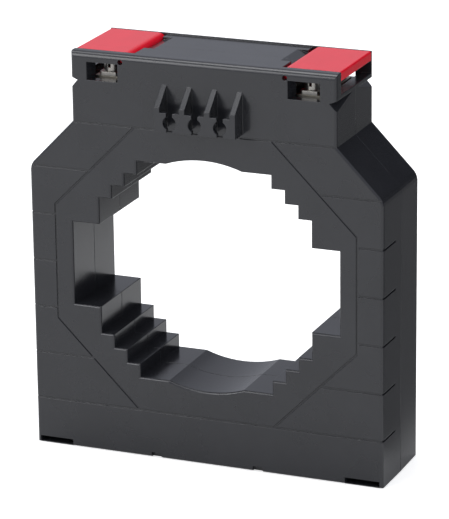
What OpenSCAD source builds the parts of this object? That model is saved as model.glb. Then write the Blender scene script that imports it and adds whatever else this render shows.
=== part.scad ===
// Busbar current transformer: a two-part moulded case round a ring core,
// with a stepped window for flat busbars or a round conductor, and two
// pairs of screw terminals under hinged covers in the head.
// Frame: X across the window, +Y from the front face to the back face,
// +Z up. The origin is the middle of the base, on the parting plane.

/* [Case] */
// Depth of the case from front face to back face
case_d = 36.4; // [34:0.2:48]
// Width of each sloping shoulder, from the case's side to the head's side
shoulder_w = 17.2; // [14:0.2:18]
// Room between the ring's wall and the base
base_room = 3.4; // [3:0.1:5]
// Wall thickness of the case
wall = 2; // [1.6:0.1:2.3]
// How far each outer wall leans in from the parting plane to its face
draft = 0.25; // [0.05:0.05:0.5]
// Radius of the long outer edges round both faces
edge_r = 1.2; // [0.6:0.1:2]
// Share by which that radius shrinks from each flat of the shoulder to the next
edge_slim = 0.04; // [0.02:0.01:0.08]
// Radius that blends the side walls into the sloping shoulders
shoulder_r = 6; // [3:0.5:9]
// Radius of the base's long edges
base_r = 0.8; // [0.4:0.1:1.4]
// Depth of the fine line where the two halves of the case meet
seam_depth = 0.3; // [0.1:0.05:0.5]

/* [Window] */
// Width of the second of the five busbars that fit the window
bar_w = 80; // [72:1:82]
// Height of the second busbar
bar_h = 50; // [46:1:54]
// Rise of one stair, which is also half the change from one busbar to the next
stair = 5; // [4:0.25:5.25]
// Extra width and height of the window round each busbar
bar_slack = 1; // [0.4:0.1:1.6]
// Extra width of the window round the widest busbar
wide_slack = 2; // [0.4:0.1:2.4]
// Diameter of the largest round conductor
round_d = 85; // [82:0.5:90]
// Extra diameter round the conductor
round_slack = 1; // [0.4:0.1:1.6]
// Radius of the window's edge at both faces
window_r = 0.9; // [0.4:0.1:1.4]

/* [Front lines] */
// Width of the lines cut in the front half
line_w = 0.7; // [0.4:0.1:1.2]
// Depth of those lines
line_depth = 0.4; // [0.2:0.05:0.6]
// Distance of the eight-sided line from the case's sides
octagon_in = 10; // [7:0.5:11]
// Length that each corner of the eight-sided line is cut back
octagon_corner = 31.5; // [28:0.5:34]
// How far the lines run back along the side walls
line_back = 12.5; // [8:0.5:16]

/* [Head] */
// Height of the head above the top of the shoulders
head_h = 25.73; // [25:0.1:32]
// Thickness of the head's front wall beside the covers
head_front = 4.3; // [3.6:0.1:5]
// Thickness of the head's back wall beside the covers
head_back = 1.4; // [1.2:0.1:2]
// Radius of the head's front top edge
brow_r = 2.2; // [1.2:0.1:2.8]
// How far the panel between the covers lies below them
panel_drop = 0.5; // [0.2:0.1:1]
// Thickness of the panel between the covers
panel_t = 2.4; // [1.8:0.1:3]
// Thickness of the partition between each terminal chamber and the head's inside
partition_t = 1.9; // [1.5:0.1:2.4]
// Width of the finger scoop in the panel beside each cover
scoop_w = 4; // [3:0.5:6]
// Depth of the finger scoop
scoop_depth = 1.2; // [0.6:0.1:1.4]
// Distance of the finger scoop from the head's front wall
scoop_front = 10; // [6:0.5:12]
// Distance of the finger scoop from the head's back wall
scoop_back = 4; // [2:0.5:6]

/* [Covers] */
// Distance of the cover's hinge line from the head's side
hinge_in = 19.3; // [18.5:0.1:21]
// Radius of the round hinge end of the cover
barrel_r = 2.7; // [2.4:0.1:3.2]
// Clearance round the hinge end
barrel_gap = 0.4; // [0.3:0.05:0.8]
// Thickness of the cover's top
cover_t = 2; // [1.5:0.1:2.3]
// Height of the lip at the cover's outer end
lip_h = 3.2; // [2.6:0.1:3.6]
// Thickness of that lip
lip_t = 1.5; // [1:0.1:2]
// Clearance at each end of the cover
cover_gap = 0.25; // [0.15:0.05:0.5]
// Diameter of the pegs that the cover turns on
peg_d = 1.7; // [1.4:0.1:2]
// Radial clearance of the pegs in their holes
peg_fit = 0.07; // [0.03:0.01:0.1]
// Length of the front peg in the wall
peg_front = 2.2; // [1.6:0.1:3]
// Length of the back peg in the wall
peg_back = 1; // [0.8:0.1:1.1]

/* [Terminals] */
// Distance of the terminal screws from the head's side
screw_in = 12.3; // [11.8:0.1:12.8]
// Depth of the chamber floor below the top of the head
floor_drop = 10.1; // [10:0.1:10.6]
// Depth of the side opening's lower edge below the top of the head
sill_drop = 7.9; // [7.6:0.1:8.3]
// Width of the solid ledge under the side opening
ledge_w = 4.3; // [4:0.1:4.6]
// Width of the wire entry
entry_w = 12; // [10:0.2:12.4]
// Height of the wire entry
entry_h = 6.7; // [6:0.1:6.8]
// Width of the front wire entry at the inner side of its wall
entry_throat = 8.6; // [8:0.1:9.6]
// Width of the terminal strip
strip_w = 10; // [9:0.2:11]
// Thickness of the terminal strip
strip_t = 3.5; // [3:0.1:4]
// Height of the strip above the chamber floor
strip_proud = 0.6; // [0.4:0.1:0.8]
// Clearance round the strip in its pocket
strip_gap = 0.1; // [0.05:0.05:0.2]
// Width of the strip's solder tongue
tongue_w = 5; // [4:0.2:6]
// Thickness of the solder tongue
tongue_t = 1.2; // [1:0.1:1.6]
// Length of tongue inside the head
tongue_in = 4; // [3:0.2:5]
// Width of the clamp plate under each screw
plate_w = 7; // [6.6:0.1:7.6]
// Length of the clamp plate
plate_l = 8; // [7:0.1:9]
// Thickness of the clamp plate
plate_t = 1.4; // [1.1:0.1:1.5]
// Radial clearance of the screw in the clamp plate
plate_fit = 0.15; // [0.1:0.05:0.3]
// Gap between a clamp plate and the chamber's end wall
plate_gap = 1.3; // [0.8:0.1:1.6]
// Diameter of the terminal screw
screw_d = 4; // [3.5:0.1:4.4]
// Radial clearance of the screw in the strip's thread
screw_fit = 0.05; // [0.02:0.01:0.1]
// Diameter of the screw head
screw_head_d = 6.4; // [6:0.1:6.6]
// Height of the screw head
screw_head_h = 2.8; // [2.4:0.1:3]
// Length of the screw below its head
screw_l = 8; // [7:0.5:9]
// Radial clearance of the screw's end in the chamber floor
well_gap = 0.5; // [0.3:0.1:0.8]
// Width of the screwdriver slot
slot_w = 1; // [0.8:0.1:1.2]
// Depth of the screwdriver slot
slot_depth = 1.4; // [1:0.1:1.8]

/* [Accessory rack] */
// How far the rack stands out from the front face
rack_out = 7; // [6:0.1:9]
// Depth of the ribs' upper end below the top of the head
rack_drop = 9.2; // [8:0.1:10]
// Fall of the ribs' sloping edge
rack_fall = 6.5; // [5:0.1:8]
// Height of the rack's lower edge above the shoulders' top
rack_rise = 1.3; // [0.5:0.1:2]
// Thickness of each rib
rib_t = 2; // [1.6:0.1:2.4]
// Spacing of the four ribs
rib_pitch = 9.5; // [9:0.1:11]
// Thickness of the plate across the ribs
rack_plate_t = 1.8; // [1.4:0.1:2.2]
// Height of that plate
rack_plate_h = 7; // [6.5:0.1:8]
// Width of each keyhole's neck
neck_w = 2.4; // [2:0.1:3]
// Width of each keyhole's eye
eye_w = 5; // [4.4:0.1:5.6]

/* [Fixing recesses] */
// Width of the bracket slots under the case's corners
foot_w = 13; // [11:0.2:13.4]
// Height of the bracket slots
foot_h = 2.4; // [2:0.1:3]
// Depth of the bracket slots from each face
foot_deep = 8; // [6:0.2:9]
// Wall left between a bracket slot and the side of the case
foot_side = 1.5; // [1.2:0.1:2]
// Distance of the small notches in the base's edge from the middle
notch_x = 19.7; // [16:0.1:24]
// Width of the small notches
notch_w = 3.8; // [3:0.1:5]
// Height of the small notches
notch_h = 1.8; // [1.2:0.1:2.2]
// Depth of the small notches
notch_deep = 1.4; // [1:0.1:1.5]
// Depth of the hook notches in the head's sides
hook_deep = 2.9; // [2:0.1:3.2]
// Height of the hook notches at the face
hook_h = 4.4; // [3.6:0.1:4.6]
// Depth of the hook notches' upper edge below the top of the head
hook_drop = 9.3; // [9.2:0.1:9.8]
// Fall of the hook notches' point below their upper edge
hook_point = 1.1; // [0.6:0.1:2]
// Half width of the bridge that parts the front hook notch from the back one
hook_bridge = 2.7; // [2:0.1:5]

/* [Core and winding] */
// Radial thickness of the taped ring: the case's size follows from it and from the window
ring_t = 8.84; // [8.4:0.02:10]
// Clearance between the ring and the case
ring_gap = 0.3; // [0.2:0.05:0.5]
// Thickness of the tape over the winding
tape_t = 0.5; // [0.3:0.05:0.6]
// Thickness of the wound layers of wire
winding_t = 1.3; // [1:0.1:1.5]
// Wall of the insulating caps on the core
cap_t = 0.9; // [0.7:0.1:1]
// Clearance from one layer of the ring to the next
layer_gap = 0.05; // [0.02:0.01:0.08]
// Thickness of the board rings between the winding and the case
board_t = 0.5; // [0.3:0.1:0.8]
// Diameter of the leads over their insulation
lead_d = 2; // [1.6:0.1:2.4]
// Diameter of the leads' bare ends
lead_core_d = 1.2; // [0.8:0.1:1.4]
// Distance of each lead's start from the middle of the case
lead_x = 4.5; // [4:0.1:6]
// Radius of the leads' bend
lead_bend = 3; // [2.4:0.1:3.6]
// Gap between the leads' insulation and the solder tongue
bare_gap = 0.5; // [0.3:0.1:1]

/* [Joining posts] */
// Radius of the posts that join the halves
post_r = 3; // [2.6:0.1:3.2]
// Radius of the pin on each front post
pin_r = 1.4; // [1.1:0.1:1.6]
// Length of that pin
pin_l = 4; // [3:0.2:6]
// Clearance of the pin in its socket
pin_gap = 0.1; // [0.05:0.01:0.15]
// Extra depth of the socket beyond the pin's end
pin_room = 0.5; // [0.2:0.1:1]
// Gap between a post and the wall or the ring beside it
post_gap = 0.9; // [0.6:0.1:1.2]
// Thickness of the ribs that hold the ring
rib_web = 2; // [1.6:0.1:2.6]

/* [Hidden] */
$fn = 96;

// Colours
case_grey = "#45474b";
cover_red = "#d8283a";
nickel = "#c9c7c0";
copper = "#b56a36";
board_brown = "#b79a6a";
cap_white = "#dcdad2";
tape_yellow = "#d9b648";
core_steel = "#7d8288";

// Cuts run this far past the faces that they open
past = 1;
// A rounded corner stands this much proud, so that it meets its two sides in clean lines
crease = 0.003;

// The five rectangles of the window, from the widest to the tallest: each goes round one busbar
cutouts = [for (k = [-2, 0, 1, 2, 3])
    [bar_w - 2 * stair * k + (k < 0 ? wide_slack : bar_slack), bar_h + 2 * stair * k + bar_slack]];

// Ring: it goes round the window's wall, and the case goes round the ring
window_reach = max([each [for (c = cutouts) norm(c / 2 + [wall, wall])], (round_d + round_slack) / 2 + wall]);
ring_in = window_reach + ring_gap;
ring_out = ring_in + ring_t;
ring_wall = ring_out + ring_gap + wall;
case_w = 2 * (ring_wall + draft);

// Lines that set out the front: the window sits on the fourth and the head on the seventh
pitch = (ring_wall + base_room) / 4;
window_z = 4 * pitch;
shoulder_z = 6 * pitch;
neck_z = 7 * pitch;
top_z = neck_z + head_h;
face_y = case_d / 2;
side_x = case_w / 2 - shoulder_w;
// Larger than any side of the case
reach = 2 * (case_w + case_d + top_z);

// Sloping shoulder: the angle of its outward normal above X, and its distance from the origin
slope_angle = atan2(case_w / 2 - side_x, neck_z - shoulder_z);
slope_dist = case_w / 2 * cos(slope_angle) + shoulder_z * sin(slope_angle);
// Centre of the blend between the side wall and the shoulder
blend_x = case_w / 2 - shoulder_r;
blend_z = shoulder_z - shoulder_r * tan(slope_angle / 2);
blend_steps = 4;

// Head and terminals
hinge_x = side_x - hinge_in;
hinge_z = top_z - barrel_r;
chamber_x = hinge_x - barrel_r - barrel_gap;
inside_x = chamber_x - partition_t;
chamber_front = -face_y + head_front;
chamber_back = face_y - head_back;
panel_z = top_z - panel_drop;
floor_z = top_z - floor_drop;
sill_z = top_z - sill_drop;
ledge_x = side_x - ledge_w;
screw_x = side_x - screw_in;
strip_top = floor_z + strip_proud;
strip_low = strip_top - strip_t;
floor_under = strip_low - wall;
plate_front_y = chamber_front + plate_gap + plate_l / 2;
plate_back_y = chamber_back - plate_gap - plate_l / 2;
plate_hole = screw_d / 2 + plate_fit;
tongue_x = inside_x - tongue_in;

// Layers of the ring
ring_half = face_y - wall - board_t - ring_gap / 2;
winding_off = tape_t + layer_gap;
cap_off = winding_off + winding_t + layer_gap;
core_off = cap_off + cap_t + layer_gap;

// Leads: a bare end lies on the tongue
lead_z = strip_top + lead_core_d / 2 + layer_gap;
lead_end_x = tongue_x - bare_gap;
lead_start_z = window_z + sqrt(pow(ring_out - winding_off, 2) - pow(lead_x - lead_d / 2, 2)) + layer_gap;

// Posts that join the halves: over the bracket slots, beside the ring and under the head's panel
post_head_r = 2.2;
post_head_x = 14;
post_angle = 28;
post_bite = 0.2;
post_out = ring_out + post_r + post_gap;
posts = [
    [case_w / 2 - draft - wall - post_r - post_gap, foot_h + wall + post_r - post_bite],
    [post_out * cos(post_angle), window_z + post_out * sin(post_angle)],
    [post_head_x, panel_z - panel_t - post_head_r + post_bite]
];

// ---- helpers ----

// Solid between y0 and y1 with its shape drawn in X and Z
module slab(y0, y1) translate([0, y1, 0]) rotate([90, 0, 0]) linear_extrude(y1 - y0) children();

// Solid between x0 and x1 with its shape drawn in Y and Z
module plank(x0, x1) translate([x0, 0, 0]) rotate([90, 0, 90]) linear_extrude(x1 - x0) children();

// Box from its low corner to its high corner
module block(low, high) translate(low) cube(high - low);

// Slab in one half of the case, from a to b away from the parting plane: s is -1 for the front half
module half_slab(s, a, b) slab(s < 0 ? -b : a, s < 0 ? -a : b) children();

// Rod along Y
module rod_y(x, z, r, y0, y1) slab(y0, y1) translate([x, z]) circle(r);

// Both hands of a piece drawn on the +X side
module both_sides() {
    children();
    mirror([1, 0, 0]) children();
}

// What a rounded corner loses: p is the corner, a and b point along its two sides
module nick(p, a, b, r) {
    half = acos(a * b) / 2;
    mid = (a + b) / norm(a + b);
    difference() {
        polygon([p + a * r / tan(half), p - mid * r, p + b * r / tan(half)]);
        translate(p + mid * (r / sin(half) - crease)) circle(r);
    }
}

// ---- case outline ----

// Everything inwards of one outer wall of the front half: angle turns its normal up from X,
// dist is its distance from the origin at the parting plane, and r is its edge radius
module lean_wall(angle, dist, r) {
    corner = [-draft, -face_y];
    foot = [draft * past / face_y, past];
    along = (foot - corner) / norm(foot - corner);
    rotate([0, -angle, 0]) translate([dist, 0, 0]) linear_extrude(reach, center = true) difference() {
        polygon([corner, foot, [-reach, past], [-reach, -face_y]]);
        nick(corner, along, [-1, 0], r);
    }
}

module both_walls(angle, dist, r) intersection() {
    lean_wall(angle, dist, r);
    mirror([1, 0, 0]) lean_wall(angle, dist, r);
}

// Side view of the front half: its long edges at the base and the top are rounded
module side_view(top_r) difference() {
    translate([-face_y, 0]) square([face_y, top_z]);
    nick([-face_y, 0], [0, 1], [1, 0], base_r);
    nick([-face_y, top_z], [0, -1], [1, 0], top_r);
}

// Side walls, sloping shoulders and the narrow flats that blend them
module lower_part() intersection() {
    block([-case_w, -face_y - past, 0], [case_w, face_y + past, neck_z + edge_r]);
    intersection_for (k = [0 : blend_steps]) {
        angle = slope_angle * k / blend_steps;
        both_walls(angle, blend_x * cos(angle) + blend_z * sin(angle) + shoulder_r, edge_r * (1 - edge_slim * k));
    }
}

// The head overlaps the part below it by the edge radius
module head_part() intersection() {
    block([-case_w, -face_y - past, neck_z - edge_r], [case_w, face_y + past, top_z]);
    both_walls(0, side_x, edge_r);
}

// Outside of one half: s is -1 for the front and 1 for the rear, here and below
module outer_half(s) mirror([0, s < 0 ? 0 : 1, 0]) intersection() {
    plank(-case_w, case_w) side_view(s < 0 ? brow_r : base_r);
    union() {
        lower_part();
        head_part();
    }
}

// Outline of the case in X and Z, moved in by t
module outline(t) {
    intersection() {
        translate([-case_w / 2 + t, t]) square([case_w - 2 * t, neck_z - t]);
        intersection_for (m = [0, 1]) mirror([m, 0]) rotate(slope_angle) translate([-reach, -reach])
            square([reach + slope_dist - t, 2 * reach]);
    }
}

// ---- window ----

module window_shape(grow) {
    translate([0, window_z]) {
        for (c = cutouts) square(c + 2 * [grow, grow], center = true);
        circle(d = round_d + round_slack + 2 * grow);
    }
}

// Section of a rounded rim: half is half the opening, and the face is at 0
module rim_section(half) {
    difference() {
        translate([-half - window_r, -past]) square([2 * (half + window_r), window_r + past]);
        for (m = [-1, 1]) translate([m * (half + window_r), window_r]) circle(window_r);
    }
}

// Rounded rim of one rectangle of the window, at the front face
module rim(w, h) {
    intersection() {
        linear_extrude(h + 4 * window_r, center = true) rim_section(w / 2);
        rotate([0, 90, 0]) linear_extrude(w + 4 * window_r, center = true) rim_section(h / 2);
    }
}

module round_rim(r) {
    rotate([-90, 0, 0]) rotate_extrude() difference() {
        translate([0, -past]) square([r + window_r, window_r + past]);
        translate([r + window_r, window_r]) circle(window_r);
    }
}

// Window through one half, with its rounded rim at the face
module window_cut(s) {
    slab(-face_y - past, face_y + past) window_shape(0);
    mirror([0, s < 0 ? 0 : 1, 0]) translate([0, -face_y, window_z]) {
        for (c = cutouts) rim(c[0], c[1]);
        round_rim((round_d + round_slack) / 2);
    }
}

// ---- inside of the case ----

// Posts and webs that stay when the inside is hollowed
module inner_ribs() {
    for (m = [0, 1]) mirror([m, 0]) {
        translate(posts[0]) circle(post_r);
        translate(posts[1]) circle(post_r);
        translate(posts[2]) circle(post_head_r);
        translate([case_w / 2 - foot_side - foot_w - wall, 0]) square([foot_w + foot_side + wall, foot_h + wall]);
        difference() {
            for (angle = [-slope_angle, slope_angle]) translate([0, window_z]) rotate(angle)
                translate([0, -rib_web / 2]) square([case_w, rib_web]);
            translate([0, window_z]) circle(ring_out + ring_gap);
        }
    }
}

module hollow() {
    difference() {
        union() {
            outline(draft + wall);
            neck_inside = side_x - draft - wall;
            translate([-neck_inside, neck_z - wall]) square([2 * neck_inside, floor_under - neck_z + wall]);
            translate([-inside_x, neck_z]) square([2 * inside_x, panel_z - panel_t - neck_z]);
        }
        window_shape(wall);
        inner_ribs();
    }
}

// ---- cuts in both halves ----

// Fine line round the case and in the window where the halves meet; the base is left whole
module seam_cut(s) {
    half_slab(s, 0, seam_depth / 2) {
        difference() {
            translate([-reach / 2, seam_depth]) square([reach, reach]);
            outline(seam_depth);
            translate([-side_x + seam_depth, neck_z - seam_depth])
                square([2 * (side_x - seam_depth), head_h]);
        }
        window_shape(seam_depth);
    }
}

// Terminal chamber on the +X side, with its side opening, wire entries, strip pocket and hinge holes
module chamber_cut() {
    out_x = side_x + past;
    block([chamber_x, chamber_front, sill_z], [out_x, chamber_back, top_z + past]);
    block([chamber_x, chamber_front, floor_z], [ledge_x, chamber_back, top_z]);
    block([screw_x - strip_w / 2 - strip_gap, chamber_front + plate_gap - strip_gap, strip_low],
          [screw_x + strip_w / 2 + strip_gap, chamber_back - plate_gap + strip_gap, floor_z + past]);
    block([tongue_x - past, -tongue_w / 2 - strip_gap, strip_top - tongue_t - strip_gap],
          [screw_x, tongue_w / 2 + strip_gap, strip_top + strip_gap]);
    for (y = [plate_front_y, plate_back_y])
        translate([screw_x, y, floor_under - past]) cylinder(r = screw_d / 2 + well_gap, h = wall + 2 * past);
    block([screw_x - entry_w / 2, chamber_back - past, floor_z],
          [screw_x + entry_w / 2, face_y + past, floor_z + entry_h]);
    front_entry();
    rod_y(hinge_x, hinge_z, peg_d / 2 + peg_fit, -face_y - past, chamber_front + past);
    rod_y(hinge_x, hinge_z, peg_d / 2 + peg_fit, chamber_back - past, face_y + past);
}

// Front wire entry: it narrows from the face to the chamber
module front_entry() {
    taper = (entry_w - entry_throat) / 2;
    lean = taper / head_front;
    intersection() {
        translate([screw_x, 0, floor_z]) linear_extrude(entry_h) polygon([
            [-entry_w / 2 - lean, -face_y - 1], [entry_w / 2 + lean, -face_y - 1],
            [entry_throat / 2 - lean, chamber_front + 1], [-entry_throat / 2 + lean, chamber_front + 1]
        ]);
        plank(screw_x - entry_w, screw_x + entry_w) polygon([
            [-face_y - past, floor_z], [chamber_front + past, floor_z],
            [chamber_front + past, floor_z + entry_h - taper / 2], [-face_y - past, floor_z + entry_h]
        ]);
    }
}

// Panel between the covers, with a finger scoop beside each
module panel_cut() {
    block([-chamber_x - past, chamber_front, panel_z], [chamber_x + past, chamber_back, top_z + past]);
    both_sides() slab(chamber_front + scoop_front, chamber_back - scoop_back) polygon([
        [chamber_x + past, panel_z - scoop_depth], [chamber_x, panel_z - scoop_depth],
        [chamber_x - scoop_w, panel_z], [chamber_x + past, panel_z + past]
    ]);
}

// Notch in the head's side on the +X side: a V groove, deep at the face, that runs out at the bridge
module hook_cut(s) {
    run = face_y - hook_bridge;
    out = hook_deep + past;
    translate([side_x, s * hook_bridge, top_z - hook_drop])
        rotate([-s * atan2(hook_point, run), 0, s * atan2(hook_deep, run)]) half_slab(s, -past, run + 2 * past)
        polygon([[0, 0], [out, out * hook_point / hook_deep], [out, -out * (hook_h - hook_point) / hook_deep]]);
}

// Bracket slots and small notches in the base's edge
module base_cuts(s) both_sides() {
    half_slab(s, face_y - foot_deep, face_y + past)
        translate([case_w / 2 - foot_side - foot_w, -past]) square([foot_w, foot_h + past]);
    half_slab(s, face_y - notch_deep, face_y + past)
        translate([notch_x - notch_w / 2, -past]) square([notch_w, notch_h + past]);
}

module case_half(s) {
    difference() {
        outer_half(s);
        window_cut(s);
        half_slab(s, -past, face_y - wall) hollow();
        seam_cut(s);
        both_sides() chamber_cut();
        panel_cut();
        both_sides() hook_cut(s);
        base_cuts(s);
    }
}

// ---- front half ----

module octagon(grow) {
    w = case_w / 2 - octagon_in + grow;
    h = neck_z - window_z + grow;
    c = octagon_corner + grow * (2 - sqrt(2));
    translate([0, window_z]) polygon([
        [w, h - c], [w - c, h], [c - w, h], [-w, h - c], [-w, c - h], [c - w, -h], [w - c, -h], [w, c - h]
    ]);
}

// Lines on the front face: one on each step of the spacing, outside the eight-sided line
module front_lines() {
    difference() {
        octagon(line_w / 2);
        octagon(-line_w / 2);
    }
    difference() {
        for (k = [1 : 7]) translate([-case_w / 2 - past, k * pitch - line_w / 2])
            square([case_w + 2 * past, line_w]);
        octagon(0);
    }
}

module side_lines() {
    for (k = [1 : 5]) block([case_w / 2 - draft - line_depth, -face_y - past, k * pitch - line_w / 2],
                            [case_w / 2 + past, -face_y + line_back, k * pitch + line_w / 2]);
}

module keyhole() {
    square([neck_w, rack_plate_h + 2 * past], center = true);
    circle(d = eye_w);
}

// Rack of four ribs with three keyhole slots in the plate across them
module rack() {
    rib_top = top_z - rack_drop;
    low = neck_z + rack_rise;
    out_y = -face_y - rack_out;
    span = 1.5 * rib_pitch;
    for (k = [-1.5 : 1 : 1.5]) plank(k * rib_pitch - rib_t / 2, k * rib_pitch + rib_t / 2) polygon([
        [-face_y + wall / 2, rib_top], [-face_y, rib_top], [out_y, rib_top - rack_fall],
        [out_y, low], [-face_y + wall / 2, low]
    ]);
    slab(out_y, out_y + rack_plate_t) difference() {
        translate([-span, low]) square([2 * span, rack_plate_h]);
        for (k = [-1, 0, 1]) translate([k * rib_pitch, low + rack_plate_h / 2]) keyhole();
    }
}

module front_shell() {
    color(case_grey) {
        difference() {
            case_half(-1);
            slab(-face_y - past, -face_y + line_depth) front_lines();
            both_sides() side_lines();
        }
        rack();
        both_sides() for (p = posts) rod_y(p[0], p[1], pin_r, -wall, pin_l);
    }
}

module rear_shell() {
    color(case_grey) difference() {
        case_half(1);
        both_sides() for (p = posts) rod_y(p[0], p[1], pin_r + pin_gap, -past, pin_l + pin_room);
    }
}

// ---- ring core and winding ----

// Ring section moved in by t from the outside of the tape
module ring_section(t) {
    translate([ring_in + t, -ring_half + t]) square([ring_out - ring_in - 2 * t, 2 * (ring_half - t)]);
}

module ring() translate([0, 0, window_z]) rotate([-90, 0, 0]) rotate_extrude($fn = 180) children();

module core() color(core_steel) ring() ring_section(core_off);

module core_cap(s) {
    half = reach / 2;
    color(cap_white) ring() difference() {
        ring_section(cap_off);
        ring_section(core_off - layer_gap);
        translate([0, s < 0 ? -layer_gap : -half]) square([reach, half + layer_gap]);
    }
}

module secondary_winding() color(copper) ring() difference() {
    ring_section(winding_off);
    ring_section(winding_off + winding_t);
}

module winding_tape() color(tape_yellow) difference() {
    ring() difference() {
        ring_section(0);
        ring_section(tape_t);
    }
    both_sides() translate([lead_x, 0, lead_start_z - past])
        cylinder(r = lead_d / 2 + 2 * layer_gap, h = 3 * past);
}

module core_cap_front() core_cap(-1);
module core_cap_rear() core_cap(1);

module board_ring(s) {
    inner = ring_half + ring_gap / 4;
    color(board_brown) ring() translate([ring_in, s < 0 ? -inner - board_t : inner])
        square([ring_out - ring_in, board_t]);
}

module board_ring_front() board_ring(-1);
module board_ring_rear() board_ring(1);

// Lead on the +X side: up from the winding, over a bend and along to the tongue.
// Each ring of the tube is [x, z, tilt of its axis from +Z, radius].
bend_x = lead_x + lead_bend;
bend_z = lead_z - lead_bend;
lead_rings = concat(
    [[lead_x, lead_start_z, 0, lead_d / 2]],
    [for (a = [0 : 15 : 90]) [bend_x - lead_bend * cos(a), bend_z + lead_bend * sin(a), a, lead_d / 2]],
    [[lead_end_x, lead_z, 90, lead_d / 2]],
    [for (x = [lead_end_x, lead_end_x + tongue_in]) [x, lead_z, 90, lead_core_d / 2]]
);
lead_sides = 12;

function ring_points(g) = [for (k = [0 : lead_sides - 1])
    let (u = g[3] * cos(360 * k / lead_sides), v = g[3] * sin(360 * k / lead_sides))
    [g[0] - u * cos(g[2]), v, g[1] + u * sin(g[2])]];

module lead_hand() {
    last = len(lead_rings) - 1;
    polyhedron(
        points = [for (g = lead_rings) each ring_points(g)],
        faces = concat(
            [[for (k = [0 : lead_sides - 1]) k]],
            [for (i = [0 : last - 1], k = [0 : lead_sides - 1])
                let (a = i * lead_sides + k, b = i * lead_sides + (k + 1) % lead_sides)
                [a, a + lead_sides, b + lead_sides, b]],
            [[for (k = [lead_sides - 1 : -1 : 0]) last * lead_sides + k]]
        )
    );
}

module lead_right() color("black") lead_hand();
module lead_left() color("black") mirror([1, 0, 0]) lead_hand();

// ---- terminals ----

module strip_hand() {
    color(nickel) difference() {
        union() {
            block([screw_x - strip_w / 2, chamber_front + plate_gap, strip_low],
                  [screw_x + strip_w / 2, chamber_back - plate_gap, strip_top]);
            block([tongue_x, -tongue_w / 2, strip_top - tongue_t], [screw_x, tongue_w / 2, strip_top]);
        }
        for (y = [plate_front_y, plate_back_y])
            translate([screw_x, y, strip_low - past]) cylinder(r = screw_d / 2 + screw_fit, h = strip_t + 2 * past);
    }
}

module terminal_strip_right() strip_hand();
module terminal_strip_left() mirror([1, 0, 0]) strip_hand();

// Clamp plate with its corners cut, pressed down on the strip
module clamp_plate(y) {
    c = plate_t / 2;
    w = plate_w / 2;
    l = plate_l / 2;
    color(nickel) translate([screw_x, y, strip_top]) linear_extrude(plate_t) difference() {
        polygon([[w, l - c], [w - c, l], [c - w, l], [-w, l - c], [-w, c - l], [c - w, -l], [w - c, -l], [w, c - l]]);
        circle(plate_hole);
    }
}

// Screw with a slot and a cross in its head
module clamp_screw(y) {
    head_z = strip_top + plate_t;
    color(nickel) translate([screw_x, y, head_z]) difference() {
        union() {
            translate([0, 0, -screw_l]) cylinder(d = screw_d, h = screw_l + screw_head_h / 2);
            cylinder(d = screw_head_d, h = screw_head_h);
        }
        for (angle = [0, 90]) rotate(angle) translate([-screw_head_d, -slot_w / 2, screw_head_h - slot_depth])
            cube([angle == 0 ? 2 * screw_head_d : screw_head_d + screw_d / 2, slot_w, slot_depth + past]);
    }
}

module clamp_plate_right_front() clamp_plate(plate_front_y);
module clamp_plate_right_rear() clamp_plate(plate_back_y);
module clamp_plate_left_front() mirror([1, 0, 0]) clamp_plate(plate_front_y);
module clamp_plate_left_rear() mirror([1, 0, 0]) clamp_plate(plate_back_y);
module clamp_screw_right_front() clamp_screw(plate_front_y);
module clamp_screw_right_rear() clamp_screw(plate_back_y);
module clamp_screw_left_front() mirror([1, 0, 0]) clamp_screw(plate_front_y);
module clamp_screw_left_rear() mirror([1, 0, 0]) clamp_screw(plate_back_y);

// ---- covers ----

// Cover on the +X side, closed: a round hinge end, a flat top and a lip at its outer end
module cover_hand() {
    end_x = side_x - draft;
    y0 = chamber_front + cover_gap;
    y1 = chamber_back - cover_gap;
    color(cover_red) {
        slab(y0, y1) difference() {
            union() {
                translate([hinge_x, hinge_z]) circle(barrel_r);
                translate([hinge_x, top_z - cover_t]) square([end_x - hinge_x, cover_t]);
                translate([end_x - lip_t, top_z - lip_h]) square([lip_t, lip_h]);
            }
            nick([end_x, top_z], [0, -1], [-1, 0], lip_t / 2);
        }
        rod_y(hinge_x, hinge_z, peg_d / 2, y0 - cover_gap - peg_front, y0 + past);
        rod_y(hinge_x, hinge_z, peg_d / 2, y1 - past, y1 + cover_gap + peg_back);
    }
}

module cover_right() cover_hand();
module cover_left() mirror([1, 0, 0]) cover_hand();

front_shell();
rear_shell();
core();
core_cap_front();
core_cap_rear();
secondary_winding();
winding_tape();
board_ring_front();
board_ring_rear();
lead_left();
lead_right();
terminal_strip_left();
terminal_strip_right();
clamp_plate_left_front();
clamp_plate_left_rear();
clamp_plate_right_front();
clamp_plate_right_rear();
clamp_screw_left_front();
clamp_screw_left_rear();
clamp_screw_right_front();
clamp_screw_right_rear();
cover_left();
cover_right();
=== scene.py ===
# %% [markdown]
# # A busbar current transformer, dressed for the camera
# The body is a flat moulded box of dark grey plastic with a stepped window through it.
# Its head carries two red hinged covers over four screw terminals.
# The solid model already holds every shape at its real size, except for four thin skins
# under the bracket slots. So this lesson is about light and finish: what each surface is
# made of, how it was made, and what the eye gets from that.

import math

import bpy
from mathutils import Matrix, Vector


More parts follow.
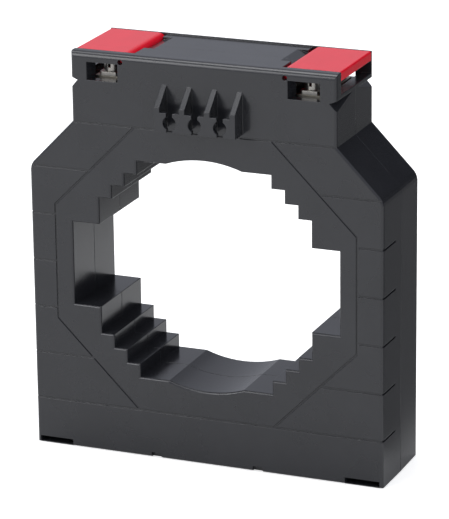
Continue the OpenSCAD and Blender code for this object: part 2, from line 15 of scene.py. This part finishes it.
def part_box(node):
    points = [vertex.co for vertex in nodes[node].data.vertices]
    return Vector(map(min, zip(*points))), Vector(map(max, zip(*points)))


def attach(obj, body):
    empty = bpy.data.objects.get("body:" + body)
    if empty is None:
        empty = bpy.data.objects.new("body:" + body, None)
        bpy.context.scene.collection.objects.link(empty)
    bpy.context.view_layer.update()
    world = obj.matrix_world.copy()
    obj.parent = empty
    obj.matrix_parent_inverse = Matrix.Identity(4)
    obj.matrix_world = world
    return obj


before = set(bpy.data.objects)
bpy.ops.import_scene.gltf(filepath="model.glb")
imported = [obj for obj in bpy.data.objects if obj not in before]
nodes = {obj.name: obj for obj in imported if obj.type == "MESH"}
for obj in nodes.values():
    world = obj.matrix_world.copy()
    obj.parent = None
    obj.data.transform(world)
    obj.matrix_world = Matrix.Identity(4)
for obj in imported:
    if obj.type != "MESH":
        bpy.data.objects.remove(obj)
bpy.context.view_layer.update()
bpy.ops.object.select_all(action="DESELECT")
print("nodes", len(nodes))

# %% [markdown]
# ## Camera
# A flat thing like this one is best seen from a long way off with a long lens, so that
# its upright edges stay nearly parallel. The camera stands to the right of the front and
# a little above it. A tracking constraint could aim it, but it would keep the camera
# level, and this one leans by 0.7 of a degree. So its three axes are worked out.

# %% Place the camera
azimuth = math.radians(22.56)
elevation = math.radians(18.005)
tilt = math.radians(-0.696)
distance = 1.1996
aim = Vector((-0.0013, 0.0038, 0.0708))

towards_camera = Vector((math.sin(azimuth) * math.cos(elevation),
                         -math.cos(azimuth) * math.cos(elevation),
                         math.sin(elevation)))
level = Vector((math.cos(azimuth), math.sin(azimuth), 0.0))
upright = towards_camera.cross(level)
across = level * math.cos(tilt) + upright * math.sin(tilt)
upward = upright * math.cos(tilt) - level * math.sin(tilt)
stand = aim + towards_camera * distance

bpy.ops.object.camera_add(location=stand)
camera = bpy.context.object
camera.name = "camera"
axes = Matrix((across, upward, towards_camera)).transposed()
camera.matrix_world = Matrix.Translation(stand) @ axes.to_4x4()
camera.data.lens = 231.2
camera.data.sensor_width = 36.0
camera.data.clip_start = 0.05
bpy.context.scene.camera = camera
print("camera at", tuple(round(v, 4) for v in camera.location))

# %% [markdown]
# ## Helpers for colours and nodes
# Moulding and paint charts give colours as sRGB hex codes, while light adds up in linear
# numbers, so one function turns the code into those. Another sets a node's sockets by
# name, with a number or with a link, and a third adds a node and sets it up in the same
# way. With these, a finish reads like a recipe.


# %% Colour and node helpers
def linear(code):
    parts = [int(code[i:i + 2], 16) / 255 for i in (1, 3, 5)]
    return tuple(p / 12.92 if p <= 0.04045 else ((p + 0.055) / 1.055) ** 2.4
                 for p in parts) + (1.0,)


def set_sockets(node, sockets):
    for name, value in sockets.items():
        if isinstance(value, bpy.types.NodeSocket):
            node.id_data.links.new(value, node.inputs[name])
        else:
            node.inputs[name].default_value = value


def add(tree, kind, sockets=None, stops=(), **settings):
    node = tree.nodes.new(kind)
    for name, value in settings.items():
        setattr(node, name, value)
    set_sockets(node, sockets or {})
    if stops:
        elements = node.color_ramp.elements
        while len(elements) < len(stops):
            elements.new(0.5)
        for element, (position, value) in zip(elements, stops):
            element.position = position
            element.color = value if isinstance(value, tuple) else (value, value, value, 1.0)
    return node


def new_finish(name):
    material = bpy.data.materials.new(name)
    material.use_nodes = True
    tree = material.node_tree
    place = add(tree, "ShaderNodeTexCoord").outputs["Object"]
    return material, tree, tree.nodes["Principled BSDF"], place


print("mid grey in linear light", round(linear("#808080")[0], 4))

# %% [markdown]
# ## Floor
# The part stands on a seamless sheet of white paper, and a plane is enough for that. To
# the camera the paper also glows, so that it looks white and the part's shadow on it
# stays faint. In reflections the paper turns grey behind the part on the right. The
# side wall and the sloping shoulder mirror that grey, which gives them their depth. A
# grey card on the floor would do the same, but it would be in view.

# %% Lay the paper
bpy.ops.mesh.primitive_plane_add(size=8.0, location=(0, 0, -0.0002))
paper = bpy.context.object
paper.name = "paper"

grey_from_x = 0.064
fade = 50.0  # per metre, so the grey is full 20 mm further on

white_paper, tree, shader, place = new_finish("white_paper")
set_sockets(shader, {"Base Color": linear("#e6e6e6"), "Roughness": 0.9,
                     "Specular IOR Level": 0.1})
rays = add(tree, "ShaderNodeLightPath")
spot = add(tree, "ShaderNodeSeparateXYZ", {"Vector": place})
past = add(tree, "ShaderNodeMath", {0: spot.outputs["X"], 1: grey_from_x}, operation="SUBTRACT")
right = add(tree, "ShaderNodeMath", {0: past.outputs[0], 1: fade},
            operation="MULTIPLY", use_clamp=True)
behind = add(tree, "ShaderNodeMath", {0: spot.outputs["Y"], 1: fade},
             operation="MULTIPLY", use_clamp=True)
corner = add(tree, "ShaderNodeMath", {0: right.outputs[0], 1: behind.outputs[0]},
             operation="MULTIPLY")
mirrored = add(tree, "ShaderNodeMath", {0: corner.outputs[0], 1: rays.outputs["Is Glossy Ray"]},
               operation="MULTIPLY")
grey = add(tree, "ShaderNodeBsdfDiffuse", {"Color": linear("#686868")})
lit = add(tree, "ShaderNodeMixShader",
          {"Fac": mirrored.outputs[0], 1: shader.outputs[0], 2: grey.outputs[0]})
glow = add(tree, "ShaderNodeEmission", {"Color": linear("#ffffff"), "Strength": 0.6})
seen_glow = add(tree, "ShaderNodeMixShader",
                {"Fac": rays.outputs["Is Camera Ray"], 2: glow.outputs[0]})
both = add(tree, "ShaderNodeAddShader", {0: lit.outputs[0], 1: seen_glow.outputs[0]})
set_sockets(tree.nodes["Material Output"], {"Surface": both.outputs[0]})
paper.data.materials.append(white_paper)
print("paper", tuple(round(v, 2) for v in paper.dimensions))

# %% [markdown]
# ## Surroundings and lamps
# A glossy dark thing shows its surroundings more than its own colour. So there are three
# of them, and the kind of ray chooses. The camera sees plain white. What the surfaces
# mirror is a pale studio that falls off to the dark towards the back right. All other
# light from around is even. An image of a real studio could be mirrored instead, but one
# soft ramp over the direction needs no file. Two large soft lamps, at the front left and
# above, give the light its direction.

# %% Build the surroundings
dark_side = Vector((0.62, 0.76, 0.22)).normalized()
studio_walls = (  # how directly a ray points at the dark side, and its linear colour there
    (0.0, (0.70, 0.72, 0.80, 1.0)),
    (0.62, (0.56, 0.58, 0.66, 1.0)),
    (0.84, (0.03, 0.03, 0.04, 1.0)),
    (1.0, (0.01, 0.01, 0.01, 1.0)),
)

world = bpy.data.worlds.new("studio")
bpy.context.scene.world = world
world.use_nodes = True
tree = world.node_tree
rays = add(tree, "ShaderNodeLightPath")
direction = add(tree, "ShaderNodeTexCoord").outputs["Generated"]
facing = add(tree, "ShaderNodeVectorMath", {0: direction, 1: dark_side},
             operation="DOT_PRODUCT")
walls = add(tree, "ShaderNodeValToRGB", {"Fac": facing.outputs["Value"]}, stops=studio_walls)
studio = tree.nodes["Background"]
set_sockets(studio, {"Color": walls.outputs["Color"], "Strength": 0.76})
white = add(tree, "ShaderNodeBackground", {"Color": linear("#ffffff"), "Strength": 1.0})
even = add(tree, "ShaderNodeBackground", {"Color": linear("#f4f6fb"), "Strength": 0.70})
mirrored = add(tree, "ShaderNodeMath",
               {0: rays.outputs["Is Glossy Ray"], 1: rays.outputs["Is Transmission Ray"]},
               operation="MAXIMUM")
unseen = add(tree, "ShaderNodeMixShader",
             {"Fac": mirrored.outputs[0], 1: even.outputs[0], 2: studio.outputs[0]})
mixed = add(tree, "ShaderNodeMixShader",
            {"Fac": rays.outputs["Is Camera Ray"], 1: unseen.outputs[0], 2: white.outputs[0]})
set_sockets(tree.nodes["World Output"], {"Surface": mixed.outputs[0]})
print("dark side of the studio", tuple(round(v, 2) for v in dark_side))

# %% Hang the lamps
part_middle = Vector((0, 0, 0.07))


def soft_lamp(name, spot, size, watts):
    bpy.ops.object.light_add(type="AREA", location=spot)
    lamp = bpy.context.object
    lamp.name = name
    lamp.data.shape = "RECTANGLE"
    lamp.data.size, lamp.data.size_y = size
    lamp.data.energy = watts
    lamp.rotation_euler = (part_middle - Vector(spot)).to_track_quat("-Z", "Y").to_euler()
    print(name, watts, "W")


soft_lamp("lamp_front_left", (-0.9, -1.1, 1.0), (0.9, 0.9), 9.0)
soft_lamp("lamp_above", (-0.15, 0.1, 1.3), (0.9, 0.7), 7.0)

# %% [markdown]
# ## Case plastic
# The case is moulded from a dark grey flame-retardant polycarbonate. Sparks roughened
# the steel mould to a fine satin, which the plastic copies. Its real grains are about a
# tenth of a millimetre wide. Here they are drawn three times as wide, so that they show.
# The plastic's own colour is nearly black, and most of what the eye gets is the soft
# reflection on top, a little duller in the patches where the case was handled. Edges are
# never sharp on a moulding. Each could be bevelled in the mesh, but a Bevel node lets
# them catch the light as if they were rounded and leaves the solids as they are.

# %% Mix the case plastic
polycarbonate_ior = 1.585
grain_height = 0.00002
clouds, grains, handled = 60.0, 3300.0, 25.0  # per metre: one in 17 mm, 0.3 mm and 40 mm

case_plastic, tree, shader, place = new_finish("moulded_polycarbonate_grey")
cloudy = add(tree, "ShaderNodeTexNoise",
             {"Vector": place, "Scale": clouds, "Detail": 3.0, "Roughness": 0.6})
tone = add(tree, "ShaderNodeValToRGB", {"Fac": cloudy.outputs["Fac"]},
           stops=((0.3, linear("#212226")), (0.7, linear("#26272b"))))
grain = add(tree, "ShaderNodeTexNoise",
            {"Vector": place, "Scale": grains, "Detail": 2.0, "Roughness": 0.55})
patches = add(tree, "ShaderNodeTexNoise",
              {"Vector": place, "Scale": handled, "Detail": 5.0, "Roughness": 0.65})
gloss = add(tree, "ShaderNodeValToRGB", {"Fac": patches.outputs["Fac"]},
            stops=((0.3, 0.17), (0.7, 0.24)))
rounded = add(tree, "ShaderNodeBevel", {"Radius": 0.00035}, samples=6)
satin = add(tree, "ShaderNodeBump",
            {"Height": grain.outputs["Fac"], "Normal": rounded.outputs[0],
             "Strength": 0.10, "Distance": grain_height})
set_sockets(shader, {"Base Color": tone.outputs["Color"], "Roughness": gloss.outputs["Color"],
                     "Normal": satin.outputs[0], "IOR": polycarbonate_ior})
print(case_plastic.name, "has", len(tree.nodes), "nodes")

# %% [markdown]
# ## Cover plastic
# The covers are moulded from the same plastic in red, in a mould as satin as the case's.
# Here the colour shows more than the reflection on top. The pigment's flow leaves it
# faintly cloudy. The grain is drawn 0.4 mm wide, coarser than the real one, so that it
# shows. A copy of the case's finish in another colour would come near, but a cover is
# lifted by its edge and shows no handled patches, so its gloss is even.

# %% Mix the cover plastic
streaks, grains = 90.0, 2600.0  # per metre: one in 11 mm and 0.4 mm

cover_plastic, tree, shader, place = new_finish("moulded_polycarbonate_red")
flow = add(tree, "ShaderNodeTexNoise",
           {"Vector": place, "Scale": streaks, "Detail": 3.0, "Distortion": 0.6})
tone = add(tree, "ShaderNodeValToRGB", {"Fac": flow.outputs["Fac"]},
           stops=((0.3, linear("#d60a24")), (0.7, linear("#de0b28"))))
grain = add(tree, "ShaderNodeTexNoise", {"Vector": place, "Scale": grains, "Detail": 2.0})
rounded = add(tree, "ShaderNodeBevel", {"Radius": 0.0004}, samples=6)
satin = add(tree, "ShaderNodeBump",
            {"Height": grain.outputs["Fac"], "Normal": rounded.outputs[0],
             "Strength": 0.08, "Distance": grain_height})
set_sockets(shader, {"Base Color": tone.outputs["Color"], "Roughness": 0.22,
                     "Normal": satin.outputs[0], "IOR": polycarbonate_ior})
print(cover_plastic.name, "has", len(tree.nodes), "nodes")

# %% [markdown]
# ## Nickel plate
# Strips, clamp plates and screws are brass or steel under a thin coat of nickel. New
# nickel is bright and a little warm. Here it is painted a duller, darker grey, and the
# strips darker still. That is painted shade, for the terminals sit in dark chambers under
# the covers. Barrel plating leaves it satin, with fine scratches in every direction from
# parts that tumbled against each other. They could be painted one by one, but the borders
# of random cells look much the same. They are drawn 0.4 mm apart, wider than real ones,
# so that they show.

# %% Plate the metal parts
stains, scratches = 400.0, 2500.0  # per metre: one in 2.5 mm and 0.4 mm


def nickel(name, shades, rough):
    material, tree, shader, place = new_finish(name)
    stained = add(tree, "ShaderNodeTexNoise", {"Vector": place, "Scale": stains, "Detail": 4.0})
    tone = add(tree, "ShaderNodeValToRGB", {"Fac": stained.outputs["Fac"]},
               stops=((0.3, linear(shades[0])), (0.7, linear(shades[1]))))
    gloss = add(tree, "ShaderNodeValToRGB", {"Fac": stained.outputs["Fac"]},
                stops=((0.3, rough[0]), (0.7, rough[1])))
    cells = add(tree, "ShaderNodeTexVoronoi", {"Vector": place, "Scale": scratches},
                feature="DISTANCE_TO_EDGE")
    rounded = add(tree, "ShaderNodeBevel", {"Radius": 0.0002}, samples=6)
    marks = add(tree, "ShaderNodeBump",
                {"Height": cells.outputs["Distance"], "Normal": rounded.outputs[0],
                 "Strength": 0.05, "Distance": grain_height})
    set_sockets(shader, {"Metallic": 1.0, "Base Color": tone.outputs["Color"],
                         "Roughness": gloss.outputs["Color"], "Normal": marks.outputs[0]})
    return material


# painted shade: both greys are darker than real nickel, the strips' the darkest, for the shade
# in the terminal chambers
strip_metal = nickel("nickel_plated_brass", ("#8d887c", "#9c978b"), (0.30, 0.40))
screw_metal = nickel("nickel_plated_steel", ("#a9a6a0", "#bab7b0"), (0.26, 0.36))
print("plated", strip_metal.name, "and", screw_metal.name)

# %% [markdown]
# ## The ring inside
# Nobody sees the ring until the case is opened, yet it is finished too. The core is
# wound like a clock spring from thin silicon steel strip, so its end faces show fine
# circles. The strip is 0.3 mm thick, and it is drawn at 0.6 mm, so that it shows. The
# winding is enamelled copper wire laid side by side through the ring, and the tape over
# it shows each turn's overlap as a soft step. Modelling each wire would take a great
# many faces. A sine over the distance from the ring's middle makes the circles, and a
# sine over the angle round it makes the wires and overlaps, with no face added.

# %% Patterns round the ring
ring_middle = sum((Vector(corner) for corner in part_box("core")), Vector()) / 2


def ring_spot(tree, place):
    centred = add(tree, "ShaderNodeMapping", {"Vector": place, "Location": tuple(-ring_middle)})
    return add(tree, "ShaderNodeSeparateXYZ", {"Vector": centred.outputs[0]}).outputs


def distance_out(tree, place):
    spot = ring_spot(tree, place)
    flat = add(tree, "ShaderNodeCombineXYZ", {"X": spot["X"], "Y": spot["Z"]})
    return add(tree, "ShaderNodeVectorMath", {0: flat.outputs[0]},
               operation="LENGTH").outputs["Value"]


def angle_round(tree, place):
    spot = ring_spot(tree, place)
    return add(tree, "ShaderNodeMath", {0: spot["Z"], 1: spot["X"]},
               operation="ARCTAN2").outputs[0]


def striped_finish(name, along, per_unit, shades, strength, height, rough, metallic):
    material, tree, shader, place = new_finish(name)
    scaled = add(tree, "ShaderNodeMath", {0: along(tree, place), 1: per_unit},
                 operation="MULTIPLY")
    stripes = add(tree, "ShaderNodeMath", {0: scaled.outputs[0]}, operation="SINE")
    tone = add(tree, "ShaderNodeValToRGB", {"Fac": stripes.outputs[0]},
               stops=((0.0, linear(shades[0])), (1.0, linear(shades[1]))))
    relief = add(tree, "ShaderNodeBump",
                 {"Height": stripes.outputs[0], "Strength": strength, "Distance": height})
    set_sockets(shader, {"Base Color": tone.outputs["Color"], "Normal": relief.outputs[0],
                         "Metallic": metallic, "Roughness": rough})
    return material


print("ring middle", tuple(round(v, 4) for v in ring_middle))

# %% Core steel, wire and tape
strip_pitch = 0.0006
wires_round, overlaps_round = 360.0, 40.0

core_steel = striped_finish(
    "wound_silicon_steel", distance_out, 2 * math.pi / strip_pitch, ("#6d6f72", "#9a9c9f"),
    strength=0.4, height=0.00005, rough=0.42, metallic=1.0)
winding_wire = striped_finish(
    "enamelled_copper_wire", angle_round, wires_round, ("#6e2f10", "#c4703a"),
    strength=0.8, height=0.0002, rough=0.3, metallic=1.0)
polyester_tape = striped_finish(
    "polyester_tape_yellow", angle_round, overlaps_round, ("#c79a1e", "#e0b638"),
    strength=0.4, height=0.0001, rough=0.35, metallic=0.0)
print("ring finishes", core_steel.name, winding_wire.name, polyester_tape.name)

# %% [markdown]
# ## Caps, boards and leads
# The caps over the core are moulded from natural white nylon, which is slightly uneven
# in tone. The rings beside the winding are pressed board with a coarse fibre, and the
# leads have soft black insulation. Each could have a recipe of its own, but a mottled
# tone with the same mottle in relief suits all three, at different sizes.


# %% Nylon, pressboard and insulation
def mottled_finish(name, shades, mottles, rough, height):
    material, tree, shader, place = new_finish(name)
    mottle = add(tree, "ShaderNodeTexNoise", {"Vector": place, "Scale": mottles, "Detail": 4.0})
    tone = add(tree, "ShaderNodeValToRGB", {"Fac": mottle.outputs["Fac"]},
               stops=((0.3, linear(shades[0])), (0.7, linear(shades[1]))))
    relief = add(tree, "ShaderNodeBump",
                 {"Height": mottle.outputs["Fac"], "Strength": 0.3, "Distance": height})
    set_sockets(shader, {"Base Color": tone.outputs["Color"], "Normal": relief.outputs[0],
                         "Roughness": rough})
    return material


cap_nylon = mottled_finish("moulded_nylon_white", ("#d8d5cc", "#e4e1d9"),
                           mottles=300.0, rough=0.45, height=grain_height)
pressboard = mottled_finish("pressboard", ("#a58457", "#bd9c6c"),
                            mottles=900.0, rough=0.8, height=0.00005)
lead_cover = mottled_finish("insulated_lead_black", ("#141414", "#1d1d1d"),
                            mottles=800.0, rough=0.5, height=grain_height)
print("mottled finishes", cap_nylon.name, pressboard.name, lead_cover.name)

# %% [markdown]
# ## Hand out the finishes
# Each solid takes the finish of what it is, which its name tells. A list of all the
# solids would do too, but a word that they share is shorter. A solid keeps its mesh and
# its place, and only the material in its slots is changed.

# %% Assign the materials
finishes = {  # the first word that is in a solid's name counts
    "tape": polyester_tape, "winding": winding_wire, "cap": cap_nylon, "board": pressboard,
    "lead": lead_cover, "strip": strip_metal, "clamp": screw_metal, "cover": cover_plastic,
    "shell": case_plastic, "core": core_steel,
}
for name, node in nodes.items():
    chosen = next(material for word, material in finishes.items() if word in name)
    node.data.materials.clear()
    node.data.materials.append(chosen)
    print(name, "->", chosen.name)

# %% [markdown]
# ## Floors of the bracket slots
# A bracket's tongue is pushed into each slot at the foot of the case. A thin skin of
# plastic closes the slot underneath, so that the slot looks dark from above. Four plates
# could be set one by one, but the slots lie alike on both sides and at both ends. So one
# plate is shaped and rounded, and mirrored to the other three.

# %% Shape one slot floor and mirror it
slot_side, slot_width, slot_depth, skin = 0.0015, 0.013, 0.008, 0.0003
skin_set_back, skin_bite = 0.0003, 0.0001
case_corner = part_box("rear_shell")[1]

bpy.ops.object.select_all(action="DESELECT")
bpy.ops.mesh.primitive_cube_add(size=1.0, location=(
    case_corner[0] - slot_side - slot_width / 2,
    case_corner[1] - skin_set_back - slot_depth / 2,
    skin / 2))
slot_floors = bpy.context.object
slot_floors.name = "slot_floors"
slot_floors.scale = (slot_width + 2 * skin_bite, slot_depth, skin)
bpy.ops.object.transform_apply(location=True, rotation=True, scale=True)
bpy.ops.object.mode_set(mode="EDIT")
bpy.ops.mesh.select_all(action="SELECT")
bpy.ops.mesh.bevel(offset=skin / 4, segments=2)
bpy.ops.object.mode_set(mode="OBJECT")
mirror = slot_floors.modifiers.new("four_slots", "MIRROR")
mirror.use_axis = (True, True, False)
mirror.use_mirror_merge = False
bpy.ops.object.modifier_apply(modifier=mirror.name)
bpy.ops.object.mode_set(mode="EDIT")
bpy.ops.mesh.select_all(action="SELECT")
bpy.ops.mesh.normals_make_consistent(inside=False)
bpy.ops.object.mode_set(mode="OBJECT")
slot_floors.data.materials.append(case_plastic)
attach(slot_floors, "case")
print("slot floors", len(slot_floors.data.polygons), "faces")

# %% [markdown]
# ## Last settings
# The Standard view shows the colours as they are written.

# %% Set the colour view
bpy.context.scene.view_settings.view_transform = "Standard"
